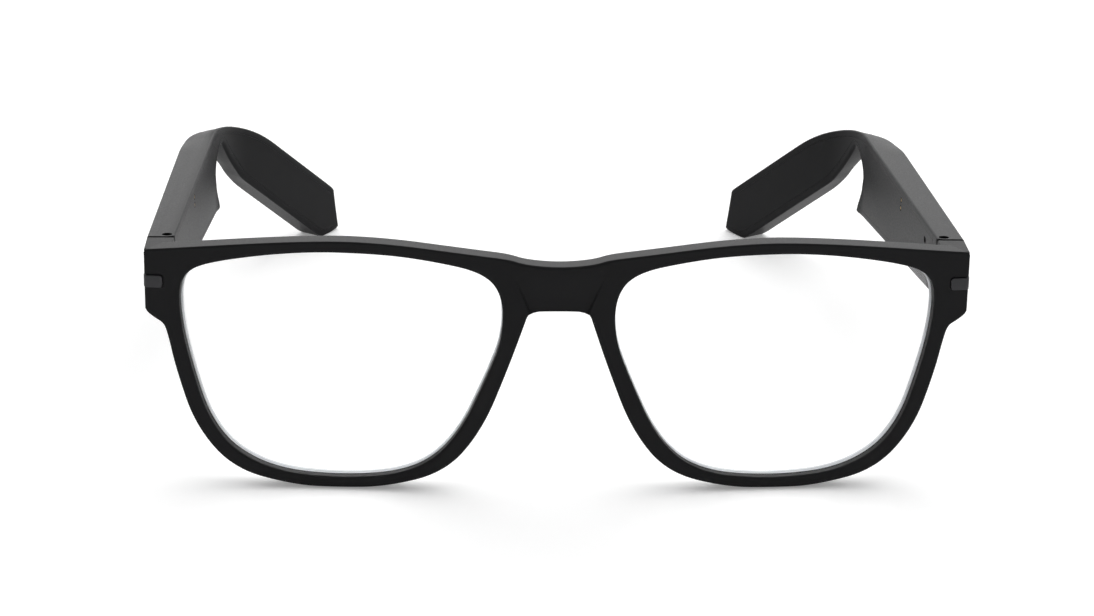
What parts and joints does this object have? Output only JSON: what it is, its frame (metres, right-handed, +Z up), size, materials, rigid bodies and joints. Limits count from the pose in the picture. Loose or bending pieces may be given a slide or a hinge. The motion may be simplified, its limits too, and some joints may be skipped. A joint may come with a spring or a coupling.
{
  "type": "smart glasses",
  "caption": "Open-ear audio glasses: full-rim front with clear lenses and two thick folding temples with wide inward-turned tips that hold the electronics.",
  "frame": {"origin": "on the ground under the middle of the bounding box, temples open", "axes": "+X along the front towards the wearer's left, +Y back towards the temple tips, +Z up"},
  "size_m": [0.1474, 0.1437, 0.0464],
  "materials": {
    "front_plastic": "fine satin black, moulded",
    "plaque_plastic": "semi-gloss dark grey insert",
    "clear_lens": "clear polished lens",
    "pad_silicone": "soft black silicone",
    "hinge_steel": "stamped and tumbled",
    "screw_steel": "turned",
    "temple_plastic": "fine satin black, moulded",
    "board": "green solder mask",
    "speaker_can": "moulded capsule with a foil diaphragm",
    "port_mesh": "black woven wire mesh",
    "battery_foil": "matt pouch foil",
    "polyimide_flex": "amber film",
    "contact_gold": "gold flashed",
    "magnet_nickel": "nickel plated",
    "button_plastic": "satin black",
    "switch_body": "moulded switch",
    "mic_can": "bright can"
  },
  "bodies": {
    "front": {"front_frame": "front_plastic", "endpiece_plaque_left": "plaque_plastic", "endpiece_plaque_right": "plaque_plastic", "lens_left": "clear_lens", "lens_right": "clear_lens", "nose_pad_left": "pad_silicone", "nose_pad_right": "pad_silicone", "front_hinge_leaf_left": "hinge_steel", "front_hinge_leaf_right": "hinge_steel", "front_leaf_screws_left": "screw_steel", "front_leaf_screws_right": "screw_steel", "hinge_screw_left": "screw_steel", "hinge_screw_right": "screw_steel"},
    "left_temple": {"temple_shell_left": "temple_plastic", "temple_cover_left": "temple_plastic", "temple_hinge_leaf_left": "hinge_steel", "temple_leaf_screws_left": "screw_steel", "circuit_board_left": "board", "speaker_left": "speaker_can", "speaker_mesh_left": "port_mesh", "battery_left": "battery_foil", "battery_lead_left": "polyimide_flex", "touch_sensor_left": "polyimide_flex", "charge_contacts_left": "contact_gold", "charge_magnet_left": "magnet_nickel", "button_switch_left": "switch_body", "microphone_left": "mic_can"},
    "right_temple": {"temple_shell_right": "temple_plastic", "temple_cover_right": "temple_plastic", "temple_hinge_leaf_right": "hinge_steel", "temple_leaf_screws_right": "screw_steel", "circuit_board_right": "board", "speaker_right": "speaker_can", "speaker_mesh_right": "port_mesh", "battery_right": "battery_foil", "battery_lead_right": "polyimide_flex", "touch_sensor_right": "polyimide_flex", "charge_contacts_right": "contact_gold", "charge_magnet_right": "magnet_nickel", "button_switch_right": "switch_body"},
    "left_button": {"action_button_left": "button_plastic"},
    "right_button": {"action_button_right": "button_plastic"}
  },
  "joints": [
    {"name": "left_temple_fold", "type": "hinge", "parent": "front", "child": "left_temple", "pos_m": [0.07, -0.0578, 0.038], "axis": [0, 0, 1], "range_deg": [0, 80]},
    {"name": "right_temple_fold", "type": "hinge", "parent": "front", "child": "right_temple", "pos_m": [-0.07, -0.0578, 0.038], "axis": [0, 0, -1], "range_deg": [0, 64]},
    {"name": "left_button_press", "type": "slide", "parent": "left_temple", "child": "left_button", "axis": [0, 0.1336, 0.991], "range_m": [0, 0.0004], "stiffness_N_per_m": 4000, "springref_m": -0.0001},
    {"name": "right_button_press", "type": "slide", "parent": "right_temple", "child": "right_button", "axis": [0, 0.1336, 0.991], "range_m": [0, 0.0004], "stiffness_N_per_m": 4000, "springref_m": -0.0001}
  ]
}
